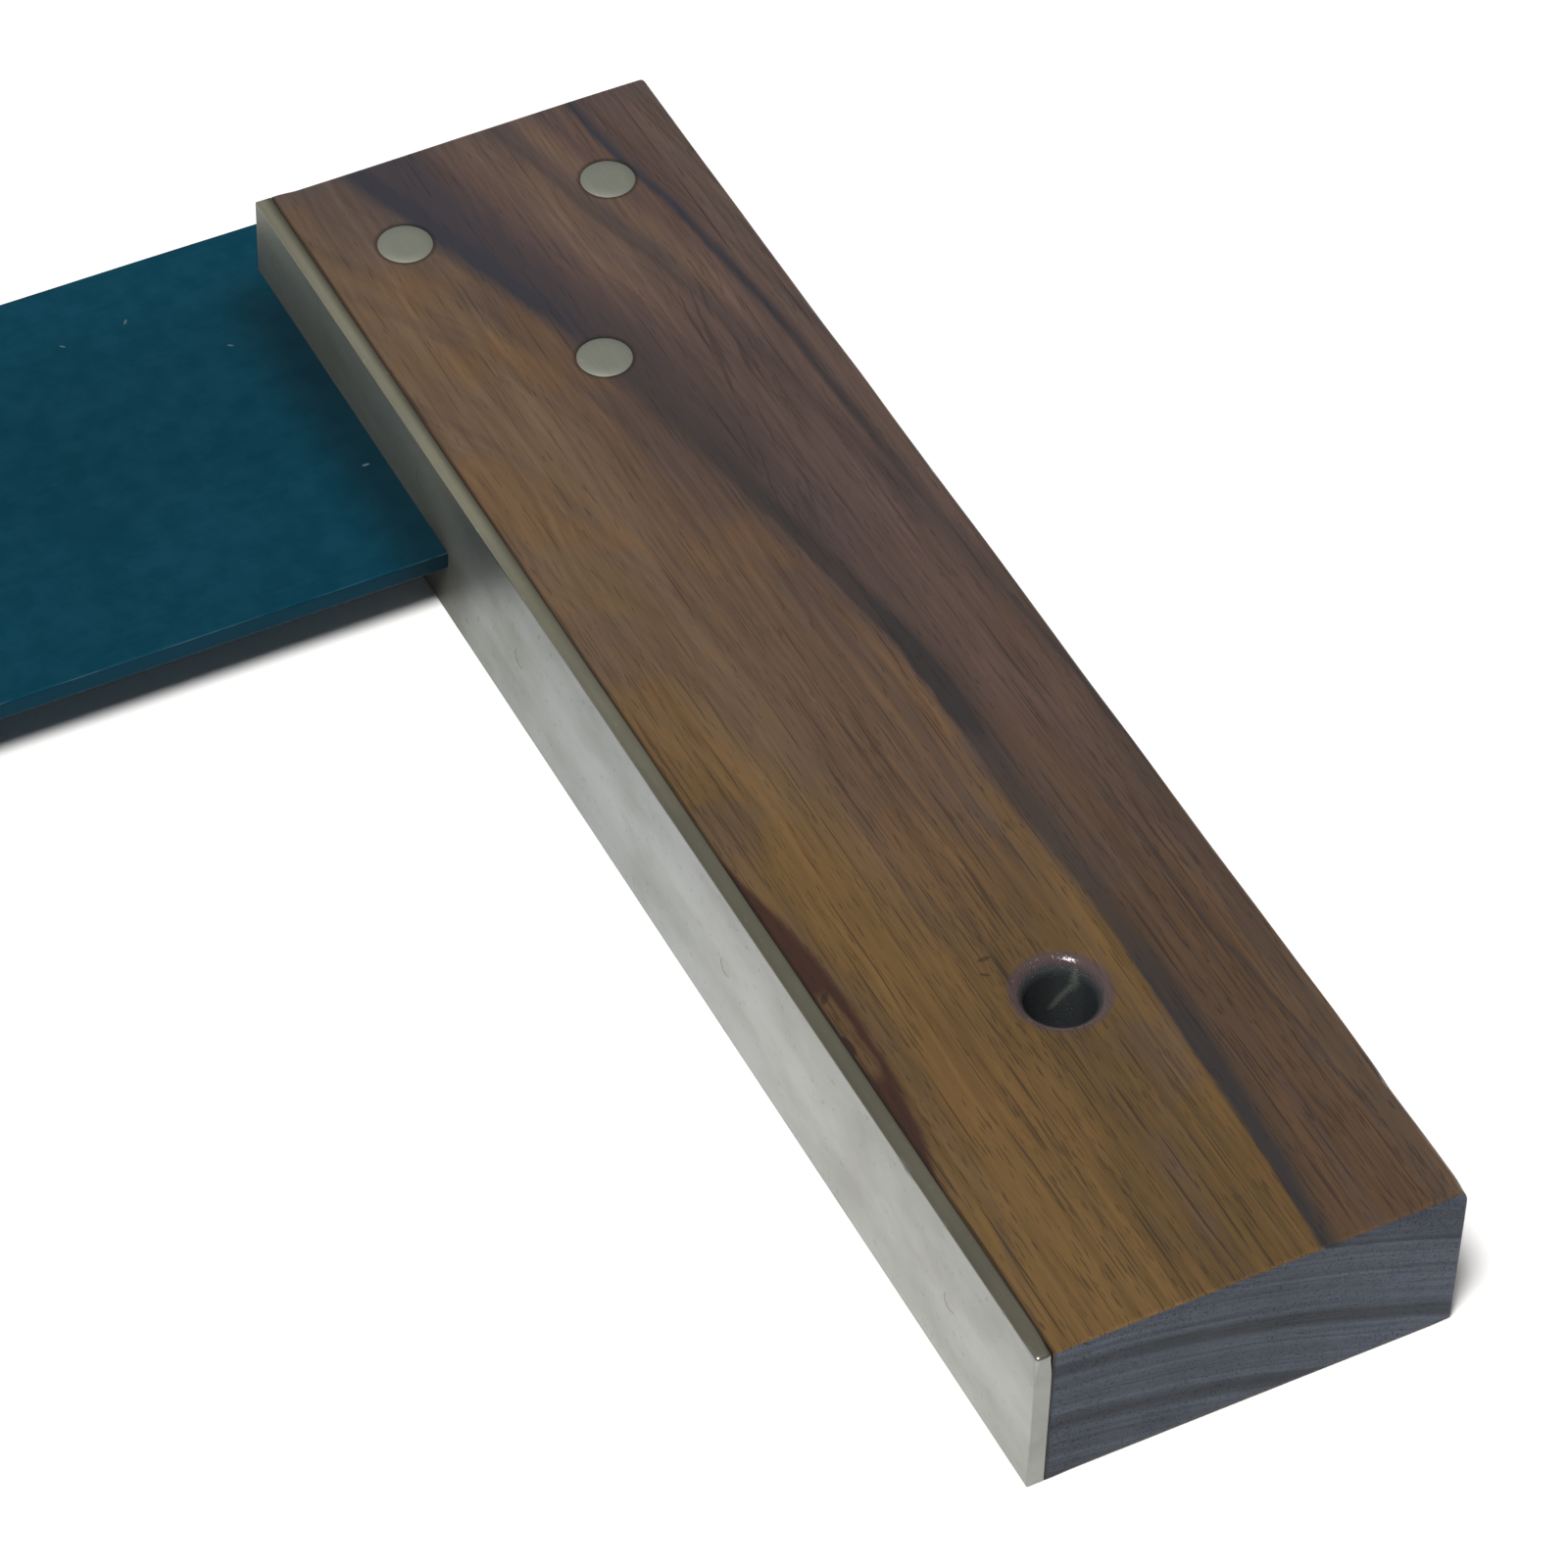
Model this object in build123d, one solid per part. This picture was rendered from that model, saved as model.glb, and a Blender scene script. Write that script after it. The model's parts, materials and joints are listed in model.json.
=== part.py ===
from build123d import *
import os

# Carpenter's try square: a hardwood stock faced with a brass plate, and a blued steel blade that is
# let into a slot at the stock's far end and held there by three rivets. Nothing on it moves.
#
# Millimetres, +Z up. The square lies on its side. The stock runs along Y with its underside at Z = 0,
# and the blade runs from the stock towards -X. The origin is on the underside, below the middle of the
# box around the whole square.

# ---- Driving dimensions ----

STOCK_LENGTH = 163.0
STOCK_WIDTH = 43.0  # brass face plate included
STOCK_THICKNESS = 17.5
PLATE_THICKNESS = 1.7

BLADE_REACH = 230.0  # free length, from the brass face to the tip
BLADE_WIDTH = 51.0
BLADE_THICKNESS = 2.0
BLADE_UNDERSIDE = 6.5  # height of the blade's lower side: the slot is sawn a little below the middle
BLADE_OVERHANG = 6.0  # how far the blade's outer edge stands proud of the stock's far end
BLADE_SHY = 0.3  # how far the blade's inner end stops short of the stock's back

# Rivets, as (distance from the brass face, distance from the stock's far end).
RIVET_PLACES = {"outer_front": (10.8, 12.3), "outer_back": (33.0, 12.3), "inner": (21.4, 35.4)}
RIVET_SHANK_RADIUS = 2.4
RIVET_FACE_RADIUS = 2.8  # each end is spread into a shallow countersink and filed flush
RIVET_SPREAD_DEPTH = 0.8

# Pins of the face plate: distances from the stock's far end.
PRONG_PIN_PLACES = (5.0, 39.0)  # one pair above the blade, one pair below it
BODY_PIN_PLACES = (61.0, 104.5, 148.0)  # on the middle line, clear of the blade
PIN_RADIUS = 1.0
PIN_LENGTH = 12.0

HANG_HOLE_FROM_FACE = 22.0
HANG_HOLE_FROM_FAR_END = 127.0
HANG_HOLE_RADIUS = 3.3
HANG_HOLE_CHAMFER = 1.4

WOOD_EASE = 0.4  # radius of the stock's eased arrises
FAR_CORNER = 0.5  # radius of its upright back corner at the blade's end
NEAR_CORNER = 1.0  # the same corner at the free end, which is rounder
BLADE_CORNER = 0.5  # radius of the two corners at the blade's tip

# ---- Places worked out from them ----

FACE_X = (BLADE_REACH - STOCK_WIDTH) / 2  # the brass face that bears on the work
WOOD_X = FACE_X + PLATE_THICKNESS
BACK_X = FACE_X + STOCK_WIDTH
TIP_X = FACE_X - BLADE_REACH
FAR_Y = (STOCK_LENGTH - BLADE_OVERHANG) / 2  # the stock's end at the blade
NEAR_Y = FAR_Y - STOCK_LENGTH
BLADE_OUTER_Y = FAR_Y + BLADE_OVERHANG
BLADE_INNER_Y = BLADE_OUTER_Y - BLADE_WIDTH
BLADE_TOP = BLADE_UNDERSIDE + BLADE_THICKNESS


def block(low, high):
    """An upright box between two opposite corners."""
    size = Vector(*high) - Vector(*low)
    return Pos(*low) * Box(size.X, size.Y, size.Z, align=(Align.MIN, Align.MIN, Align.MIN))


def upright_cylinder(place, radius, bottom, top):
    """A vertical cylinder at (x, y) between two heights."""
    middle = Pos(place[0], place[1], (bottom + top) / 2)
    return middle * Cylinder(radius, top - bottom)


def from_datum(from_face, from_far_end):
    """The (x, y) of a point given from the brass face and from the stock's far end."""
    return FACE_X + from_face, FAR_Y - from_far_end


def rivet(place):
    """A rivet through the stock's full thickness, spread to a larger radius at both faces."""
    spread = Cone(RIVET_SHANK_RADIUS, RIVET_FACE_RADIUS, RIVET_SPREAD_DEPTH)
    upper = Pos(place[0], place[1], STOCK_THICKNESS - RIVET_SPREAD_DEPTH / 2) * spread
    lower = Pos(place[0], place[1], RIVET_SPREAD_DEPTH / 2) * Rot(180, 0, 0) * spread
    return upright_cylinder(place, RIVET_SHANK_RADIUS, 0, STOCK_THICKNESS) + upper + lower


def plate_pin(from_far_end, height):
    """A pin along X, from the brass face into the wood."""
    middle = Pos(FACE_X + PIN_LENGTH / 2, FAR_Y - from_far_end, height)
    return middle * Rot(0, 90, 0) * Cylinder(PIN_RADIUS, PIN_LENGTH)


def hanging_hole():
    """The cutter of the hole that the square hangs by: a bore with a chamfer at each mouth."""
    place = from_datum(HANG_HOLE_FROM_FACE, HANG_HOLE_FROM_FAR_END)
    bore = upright_cylinder(place, HANG_HOLE_RADIUS, 0, STOCK_THICKNESS)
    mouth = Cone(HANG_HOLE_RADIUS, HANG_HOLE_RADIUS + HANG_HOLE_CHAMFER, HANG_HOLE_CHAMFER)
    upper = Pos(place[0], place[1], STOCK_THICKNESS - HANG_HOLE_CHAMFER / 2) * mouth
    lower = Pos(place[0], place[1], HANG_HOLE_CHAMFER / 2) * Rot(180, 0, 0) * mouth
    return bore + upper + lower


def eased_bar():
    """The stock's bar of wood, with its back corners rounded and its outer arrises eased."""
    bar = block((WOOD_X, NEAR_Y, 0), (BACK_X, FAR_Y, STOCK_THICKNESS))
    for end, radius in ((-1, FAR_CORNER), (0, NEAR_CORNER)):
        corner = bar.edges().filter_by(Axis.Z).group_by(Axis.X)[-1].sort_by(Axis.Y)[end]
        bar = fillet(corner, radius)
    rims = bar.faces().filter_by(Axis.Z).edges()
    outer = [edge for edge in rims if edge.center().X > WOOD_X + WOOD_EASE]
    return fillet(outer, WOOD_EASE)


def blade_blank():
    """The blade before its rivet holes are drilled."""
    low = (TIP_X, BLADE_INNER_Y, BLADE_UNDERSIDE)
    high = (BACK_X - BLADE_SHY, BLADE_OUTER_Y, BLADE_TOP)
    blank = block(low, high)
    return fillet(blank.edges().filter_by(Axis.Z).group_by(Axis.X)[0], BLADE_CORNER)


def blade_slot():
    """The cutter of the slot that the blade fills, open at the stock's far end and on both sides."""
    low = (FACE_X - 1, BLADE_INNER_Y, BLADE_UNDERSIDE)
    return block(low, (BACK_X + 1, FAR_Y + 1, BLADE_TOP))


def plate_blank():
    """The brass strip on the stock's inner face, before its slot and pin holes are cut."""
    return block((FACE_X, NEAR_Y, 0), (WOOD_X, FAR_Y, STOCK_THICKNESS))


def all_pins():
    """Every pin of the face plate, by name."""
    lower_prong = BLADE_UNDERSIDE / 2
    upper_prong = (BLADE_TOP + STOCK_THICKNESS) / 2
    pins = {}
    for number, from_far_end in enumerate(PRONG_PIN_PLACES, start=1):
        pins[f"plate_pin_upper_prong_{number}"] = plate_pin(from_far_end, upper_prong)
        pins[f"plate_pin_lower_prong_{number}"] = plate_pin(from_far_end, lower_prong)
    for number, from_far_end in enumerate(BODY_PIN_PLACES, start=1):
        pins[f"plate_pin_body_{number}"] = plate_pin(from_far_end, STOCK_THICKNESS / 2)
    return pins


def build():
    """Every piece of the square, by the name of its node."""
    rivets = {f"blade_rivet_{name}": rivet(from_datum(*at)) for name, at in RIVET_PLACES.items()}
    pins = all_pins()
    stock = eased_bar() - blade_slot() - hanging_hole()
    blade = blade_blank()
    plate = plate_blank() - blade_slot()
    for piece in rivets.values():
        stock -= piece
        blade -= piece
    for piece in pins.values():
        stock -= piece
        plate -= piece
    return {"stock": stock, "face_plate": plate, "blade": blade, **rivets, **pins}


def one_solid(name, shape):
    """The shape's only solid. A piece that came apart in two is a mistake."""
    solids = shape.solids()
    if len(solids) != 1:
        raise ValueError(f"{name} has {len(solids)} solids")
    return solids[0]


os.makedirs("parts", exist_ok=True)
for node, shape in build().items():
    export_step(one_solid(node, shape), f"parts/{node}.step")
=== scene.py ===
import json
import math

import bmesh
import bpy
from mathutils import Matrix, Vector, noise


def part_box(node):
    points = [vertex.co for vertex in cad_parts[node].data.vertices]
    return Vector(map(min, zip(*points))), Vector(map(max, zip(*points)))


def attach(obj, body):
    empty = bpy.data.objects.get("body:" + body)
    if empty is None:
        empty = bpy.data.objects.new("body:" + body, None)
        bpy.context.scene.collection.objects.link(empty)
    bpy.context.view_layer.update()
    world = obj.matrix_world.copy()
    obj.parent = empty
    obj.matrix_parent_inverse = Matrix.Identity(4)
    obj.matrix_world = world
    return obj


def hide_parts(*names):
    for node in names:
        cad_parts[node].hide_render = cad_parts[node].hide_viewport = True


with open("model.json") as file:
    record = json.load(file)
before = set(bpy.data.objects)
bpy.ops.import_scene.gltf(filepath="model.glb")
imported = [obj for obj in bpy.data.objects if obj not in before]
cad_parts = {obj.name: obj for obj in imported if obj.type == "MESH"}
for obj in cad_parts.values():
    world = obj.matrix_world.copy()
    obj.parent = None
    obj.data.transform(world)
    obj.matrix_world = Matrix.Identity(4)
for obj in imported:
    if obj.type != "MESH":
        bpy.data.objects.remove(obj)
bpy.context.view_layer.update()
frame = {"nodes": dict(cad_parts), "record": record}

# A carpenter's try square lying on its side: a dark hardwood stock faced with brass, and a blued
# steel blade riveted into it. Shapes are worked out in millimetres, and turned into metres when a
# mesh is made.

MM = 0.001


def node_box(node):
    """A CAD node's lowest and highest corners, in millimetres."""
    low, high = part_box(node)
    return low / MM, high / MM


WOOD_LOW, WOOD_HIGH = node_box("stock")
PLATE_LOW, PLATE_HIGH = node_box("face_plate")
BLADE_LOW, BLADE_HIGH = node_box("blade")
RIVETS = ("blade_rivet_outer_front", "blade_rivet_outer_back", "blade_rivet_inner")
PINS = tuple(sorted(name for name in frame["nodes"] if name.startswith("plate_pin")))
HOLE = next(mount for mount in frame["record"]["mounts"] if mount["name"] == "hanging_hole")
HOLE_PLACE = Vector(HOLE["pos_m"]) / MM
HOLE_RADIUS = HOLE["dims"]["r_mm"]
FACE_X = PLATE_LOW.x
FAR_Y = WOOD_HIGH.y
TOP_Z = WOOD_HIGH.z
STOCK_LENGTH = WOOD_HIGH.y - WOOD_LOW.y
STOCK_WIDTH = WOOD_HIGH.x - PLATE_LOW.x

HAIRLINE = 0.04  # the gap that shows as a dark line round a piece let into another
HOLE_CHAMFER = 1.4
ARRIS_STEPS = (0, 0.1, 0.22, 0.38, 0.58, 0.85, 1.25, 1.8, 2.6)  # a grid's lines nearest an arris
CUTTER_SIDES, HOLE_SIDES, RIVET_SIDES, PIN_SIDES = 48, 72, 56, 28
UNEVEN = 0.012  # how far rivets and pins are out of round, as a share of their radius
UPRIGHT = (0, 0, 1)


# ---- Mesh building ----


def lines_along(low, high, cell):
    """Places along an axis: a cell apart, but closer near both ends, where the arrises are."""
    near_end = [step for step in ARRIS_STEPS if step < (high - low) / 2 - 0.05]
    inner = high - low - 2 * near_end[-1]
    count = max(1, round(inner / cell))
    middle = [near_end[-1] + inner * i / count for i in range(1, count)]
    steps = near_end + middle + [high - low - step for step in reversed(near_end)]
    return [low + step for step in steps]


def grid_box(lines):
    """A closed box of quads, with its vertices on the given lines along X, Y and Z."""
    mesh = bmesh.new()
    made = {}

    def vertex(index):
        if index not in made:
            made[index] = mesh.verts.new([lines[axis][index[axis]] for axis in range(3)])
        return made[index]

    for axis in range(3):
        first, second = (axis + 1) % 3, (axis + 2) % 3
        for side in (0, len(lines[axis]) - 1):
            for i in range(len(lines[first]) - 1):
                for j in range(len(lines[second]) - 1):
                    loop = []
                    for di, dj in ((0, 0), (1, 0), (1, 1), (0, 1)):
                        index = [0, 0, 0]
                        index[axis], index[first], index[second] = side, i + di, j + dj
                        loop.append(vertex(tuple(index)))
                    mesh.faces.new(loop if side else loop[::-1])
    return mesh


def settle(mesh, distance):
    """Moves every vertex on to the surface where the distance field is zero."""
    reach, rounds, close_enough = 0.01, 5, 0.0005
    axes = [Vector((reach, 0, 0)), Vector((0, reach, 0)), Vector((0, 0, reach))]
    for vertex in mesh.verts:
        for _ in range(rounds):
            depth = distance(vertex.co)
            if abs(depth) < close_enough:
                break
            slope = [distance(vertex.co + axis) - distance(vertex.co - axis) for axis in axes]
            slope = Vector(slope)
            if slope.length < 1e-6:
                break
            vertex.co -= slope.normalized() * depth


def block_distance(point, low, high, corner, arris):
    """Signed distance from a block with rounded upright corners and eased upper and lower arrises."""
    middle = (low + high) / 2
    half = (high - low) / 2
    across = abs(point.x - middle.x) - half.x + corner
    along = abs(point.y - middle.y) - half.y + corner
    outline = min(max(across, along), 0) + math.hypot(max(across, 0), max(along, 0)) - corner
    side = outline + arris
    height = abs(point.z - middle.z) - half.z + arris
    return min(max(side, height), 0) + math.hypot(max(side, 0), max(height, 0)) - arris


def block_mesh(low, high, cells, distance):
    """A block in cells of these sizes, with its surface where the distance field is zero."""
    mesh = grid_box([lines_along(*axis) for axis in zip(low, high, cells)])
    settle(mesh, distance)
    return mesh


def chipped(distance, point, chips):
    """The same distance after round bites are taken out of an arris: ((x, y, z), radius) each."""
    for place, radius in chips:
        distance = max(distance, radius - (point - Vector(place)).length)
    return distance


def smooth_step(value, low, high):
    """0 below low, 1 above high, and an even ease between them."""
    share = min(1, max(0, (value - low) / (high - low)))
    return share * share * (3 - 2 * share)


def piece_from(mesh, name):
    """A new object of the scene from a mesh in millimetres."""
    bmesh.ops.scale(mesh, vec=(MM, MM, MM), verts=mesh.verts)
    bmesh.ops.recalc_face_normals(mesh, faces=mesh.faces)
    data = bpy.data.meshes.new(name)
    mesh.to_mesh(data)
    mesh.free()
    piece = bpy.data.objects.new(name, data)
    bpy.context.scene.collection.objects.link(piece)
    return piece


def cutter_box(low, high):
    """A plain box that another piece is cut with."""
    mesh = bmesh.new()
    bmesh.ops.create_cube(mesh, size=1)
    bmesh.ops.scale(mesh, vec=high - low, verts=mesh.verts)
    bmesh.ops.translate(mesh, vec=(low + high) / 2, verts=mesh.verts)
    return piece_from(mesh, "cutter")


def turned(name, profile, origin, direction, sides, wobble=0.0):
    """A turned body from (radius, height) pairs, closed on its axis at both ends.

    The wobble is how far it is out of round, as a share of its radius.
    """
    mesh = bmesh.new()
    origin = Vector(origin)
    aim = Vector(UPRIGHT).rotation_difference(Vector(direction)).to_matrix()
    rings = []
    for radius, height in profile:
        ring = []
        for side in range(sides if radius > 0 else 1):
            angle = 2 * math.pi * side / sides
            outward = Vector((math.cos(angle), math.sin(angle), 0))
            uneven = 1 + wobble * noise.noise(outward * 1.7 + origin * 0.37)
            offset = outward * radius * uneven + Vector((0, 0, height))
            ring.append(mesh.verts.new(origin + aim @ offset))
        rings.append(ring)
    for lower, upper in zip(rings, rings[1:]):
        for side in range(sides):
            after = (side + 1) % sides
            corners = [lower[side % len(lower)], lower[after % len(lower)]]
            corners += [upper[after % len(upper)], upper[side % len(upper)]]
            mesh.faces.new(list(dict.fromkeys(corners)))
    return piece_from(mesh, name)


def cut(piece, cutters):
    """Takes the cutters away from the piece, for good."""
    for cutter in cutters:
        modifier = piece.modifiers.new("cut", "BOOLEAN")
        modifier.object = cutter
        modifier.operation = "DIFFERENCE"
        modifier.solver = "EXACT"
    shaped = piece.evaluated_get(bpy.context.evaluated_depsgraph_get())
    before = piece.data
    piece.data = bpy.data.meshes.new_from_object(shaped)
    piece.modifiers.clear()
    bpy.data.meshes.remove(before)
    for cutter in cutters:
        bpy.data.objects.remove(cutter)


def shade(piece, sharp_above=38):
    """Smooth shading, with every edge that turns by more than the given degrees kept sharp."""
    mesh = bmesh.new()
    mesh.from_mesh(piece.data)
    for face in mesh.faces:
        face.smooth = True
    for edge in mesh.edges:
        if len(edge.link_faces) == 2:
            edge.smooth = edge.calc_face_angle(0) < math.radians(sharp_above)
    mesh.to_mesh(piece.data)
    mesh.free()


def place(piece, node, slot, material):
    """Puts a finished piece on the fixed frame in the place of a CAD node, with its material."""
    piece.data.name = piece.name
    piece.data.materials.clear()
    piece.data.materials.append(material)
    shade(piece)
    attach(piece, "root")
    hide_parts(node)
    return piece


# ---- Node building ----


class Field:
    """A value that varies over a surface: a socket of a node tree, with arithmetic on it."""

    def __init__(self, tree, socket):
        self.tree = tree
        self.socket = socket

    def math(self, operation, *others, clamp=False):
        node = self.tree.nodes.new("ShaderNodeMath")
        node.operation = operation
        node.use_clamp = clamp
        for slot, value in zip(node.inputs, (self, *others)):
            feed(slot, value)
        return Field(self.tree, node.outputs[0])

    def __add__(self, other):
        return self.math("ADD", other)

    def __sub__(self, other):
        return self.math("SUBTRACT", other)

    def __rsub__(self, other):
        return (self * -1) + other

    def __mul__(self, other):
        return self.math("MULTIPLY", other)

    def __truediv__(self, other):
        return self.math("DIVIDE", other)

    def root(self):
        return self.math("SQRT")

    def size(self):
        return self.math("ABSOLUTE")

    def larger(self, other):
        return self.math("MAXIMUM", other)

    def step(self, low, high):
        """0 below low and 1 above high, or the other way round where low is the larger."""
        node = self.tree.nodes.new("ShaderNodeMapRange")
        node.interpolation_type = "SMOOTHSTEP"
        low, high, start, end = (low, high, 0, 1) if low < high else (high, low, 1, 0)
        for slot, value in zip(node.inputs, (self, low, high, start, end)):
            feed(slot, value)
        return Field(self.tree, node.outputs[0])

    def follow(self, points, span, height):
        """A smooth curve through (place, value) points, with places to span and values to height."""
        node = self.tree.nodes.new("ShaderNodeFloatCurve")
        curve = node.mapping.curves[0]
        scaled = [(min(1, max(0, at / span)), value / height) for at, value in points]
        curve.points[0].location, curve.points[-1].location = scaled[0], scaled[-1]
        for at, value in scaled[1:-1]:
            curve.points.new(at, value)
        node.mapping.update()
        feed(node.inputs["Value"], self / span)
        return Field(self.tree, node.outputs[0]) * height


def feed(slot, value):
    """Links a field to a socket, or sets the socket to a plain value."""
    if isinstance(value, Field):
        value.tree.links.new(value.socket, slot)
    else:
        slot.default_value = value


class Surface:
    """A new procedural material, with the places on the object that its fields start from."""

    def __init__(self, name, **sockets):
        self.material = bpy.data.materials.new(name)
        self.material.use_nodes = True
        self.tree = self.material.node_tree
        self.shader = self.tree.nodes["Principled BSDF"]
        for socket, value in sockets.items():
            self.set(socket.replace("_", " "), value)
        separate = self.tree.nodes.new("ShaderNodeSeparateXYZ")
        coordinates = self.tree.nodes.new("ShaderNodeTexCoord")
        self.tree.links.new(coordinates.outputs["Object"], separate.inputs[0])
        x, y, z = (Field(self.tree, socket) / MM for socket in separate.outputs)
        self.along = y * -1 + FAR_Y  # from the stock's far end
        self.across = x - FACE_X  # from the brass face
        self.up = z

    def set(self, socket, value):
        feed(self.shader.inputs[socket], value)

    def noise(self, lengths, detail=2.0, roughness=0.5, places=None, seed=0.0):
        """Noise from 0 to 1, with features about these long in mm, across, along and up the stock."""
        combine = self.tree.nodes.new("ShaderNodeCombineXYZ")
        places = places or (self.across, self.along, self.up)
        for slot, place, length in zip(combine.inputs, places, lengths):
            feed(slot, place / length + seed)
        node = self.tree.nodes.new("ShaderNodeTexNoise")
        feed(node.inputs["Vector"], Field(self.tree, combine.outputs[0]))
        feed(node.inputs["Scale"], 1.0)
        feed(node.inputs["Detail"], detail)
        feed(node.inputs["Roughness"], roughness)
        return Field(self.tree, node.outputs["Fac"])

    def mix(self, amount, under, over, blend="MIX"):
        """One colour over another by a varying amount."""
        node = self.tree.nodes.new("ShaderNodeMix")
        node.data_type = "RGBA"
        node.blend_type = blend
        slots = {socket.identifier: socket for socket in node.inputs}
        feed(slots["Factor_Float"], amount)
        feed(slots["A_Color"], under)
        feed(slots["B_Color"], over)
        colour = {socket.identifier: socket for socket in node.outputs}["Result_Color"]
        return Field(self.tree, colour)

    def lightness(self, colour):
        """How light a colour is, as a plain value."""
        node = self.tree.nodes.new("ShaderNodeRGBToBW")
        feed(node.inputs[0], colour)
        return Field(self.tree, node.outputs[0])

    def brightened(self, colour, factor):
        """A colour times a number that varies."""
        node = self.tree.nodes.new("ShaderNodeVectorMath")
        node.operation = "SCALE"
        feed(node.inputs[0], colour)
        feed(node.inputs["Scale"], factor)
        return Field(self.tree, node.outputs[0])

    def facing(self, axis):
        """How squarely the surface faces along an axis of the object, from 0 to 1."""
        geometry = self.tree.nodes.new("ShaderNodeTexCoord")
        separate = self.tree.nodes.new("ShaderNodeSeparateXYZ")
        self.tree.links.new(geometry.outputs["Normal"], separate.inputs[0])
        return Field(self.tree, separate.outputs[axis]).size()

    def rounded(self):
        """1 on eased arrises and other slopes between the object's main directions."""
        return self.facing("X").larger(self.facing("Y")).larger(self.facing("Z")).step(0.985, 0.9)

    def bump(self, height, depth_mm):
        """Bump from a field of 0 to 1, where 1 stands that many mm proud of 0."""
        node = self.tree.nodes.new("ShaderNodeBump")
        feed(node.inputs["Strength"], 1.0)
        feed(node.inputs["Distance"], depth_mm * MM)
        feed(node.inputs["Height"], height)
        feed(self.shader.inputs["Normal"], Field(self.tree, node.outputs[0]))


LIGHT_LEVEL = 1.28  # how bright white is on the upper faces, in this scene's light
GLOSS_LEVEL = 0.012  # what the gloss of oiled wood adds to that


def linear(channel):
    """A display value out of 255 as a linear one."""
    value = channel / 255
    return value / 12.92 if value <= 0.04045 else ((value + 0.055) / 1.055) ** 2.4


def seen_as(red, green, blue, gloss=GLOSS_LEVEL):
    """The surface colour that shows as these display values on the upper faces in this light."""
    channels = [max(0.0, linear(channel) - gloss) / LIGHT_LEVEL for channel in (red, green, blue)]
    return (*channels, 1.0)


# ---- Wood ----

# The tree's rings, seen along the stock: circles round a centre below the brass face.
PITH_ACROSS, PITH_UP = -16.0, -108.0

# The broad dark vein on the upper face. Its two edges, as (from the far end, from the brass face)
# in mm, and how dark it is, as (from the far end, strength).
VEIN_FRONT = [
    (0, 8.7), (10, 12.3), (20, 15.6), (30, 19), (40, 21.3),
    (60, 25.3), (80, 28.3), (110, 29.3), (140, 29.4), (163, 28),
]
VEIN_BACK = [
    (0, 17.5), (10, 20), (20, 22.7), (30, 25.7), (40, 28.2),
    (60, 31), (80, 32.2), (110, 32), (137, 32.8), (150, 31.6), (163, 29.6),
]
VEIN_STRENGTH = [
    (0, 0.9), (15, 1.0), (30, 0.9), (45, 0.7), (60, 0.8), (72, 0.75),
    (87, 1.1), (100, 0.6), (115, 0.55), (128, 0.8), (140, 0.95), (163, 1.0),
]

# The thin vein behind it and the late streak near the free end: their middle lines and strengths.
THIN_VEIN = [
    (0, 34), (10, 35.5), (20, 37.2), (30, 38.3), (40, 39.2),
    (60, 40), (80, 41.5), (100, 42.6), (163, 44),
]
THIN_STRENGTH = [
    (0, 0.8), (12, 1.0), (40, 1.0), (55, 0.8),
    (75, 0.55), (95, 0.85), (115, 0.4), (163, 0.1),
]
LATE_STREAK = [(0, 33), (90, 36), (105, 37), (125, 38), (145, 39.6), (163, 40.4)]
LATE_STRENGTH = [(0, 0), (95, 0), (108, 0.6), (130, 0.7), (163, 0.6)]

# Dark rings deeper in the wood, as (how far inside the broad vein's ring, half width, strength).
DEEP_RINGS = [
    (8.8, 0.9, 0.95), (12.0, 0.2, 0.4), (16.0, 0.8, 0.95),
    (19.0, 0.3, 0.5), (23.5, 0.9, 0.8), (-4.6, 0.3, 0.5),
]


def ring_fields(wood):
    """The ring's radius at each point, and the level: where that ring meets the upper face."""
    square = (wood.across - PITH_ACROSS).math("POWER", 2) + (wood.up - PITH_UP).math("POWER", 2)
    rise = TOP_Z - PITH_UP
    level = (square - rise * rise).larger(0).root() + PITH_ACROSS
    return square.root(), level


def band(place, front, back, soft_front, soft_back):
    """1 between two edges, easing off past each over a width in mm."""
    behind_front = ((place - front) / soft_front).step(-0.5, 0.5)
    before_back = ((back - place) / soft_back).step(-0.5, 0.5)
    return behind_front * before_back


def vein_front(wood):
    """The broad vein's front edge on the upper face, and the radius of the ring that it follows."""
    front = wood.along.follow(VEIN_FRONT, STOCK_LENGTH, STOCK_WIDTH)
    rise = TOP_Z - PITH_UP
    return front, ((front - PITH_ACROSS).math("POWER", 2) + rise * rise).root()


def broad_vein(wood, level, front):
    """The broad dark vein: soft where it is wide, with its darkest part along its front edge."""
    back = wood.along.follow(VEIN_BACK, STOCK_LENGTH, STOCK_WIDTH)
    strength = wood.along.follow(VEIN_STRENGTH, STOCK_LENGTH, 1.1)
    soft = wood.along.step(70, 20) * 2.4 + 0.7
    narrow = wood.along.step(48, 62)
    broad = band(level, front, back, soft, soft * 1.5 + narrow * 3 + 0.6)
    narrower = narrow * 0.4 + wood.along.step(136, 150) * 0.8
    core = band(level, front, front - narrower + 2.6, soft * 0.6, narrow * -1.6 + 3.0)
    return (broad * (narrow * -0.28 + 0.8) + core * (narrow * 0.3 + 0.35)) * strength


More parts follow.
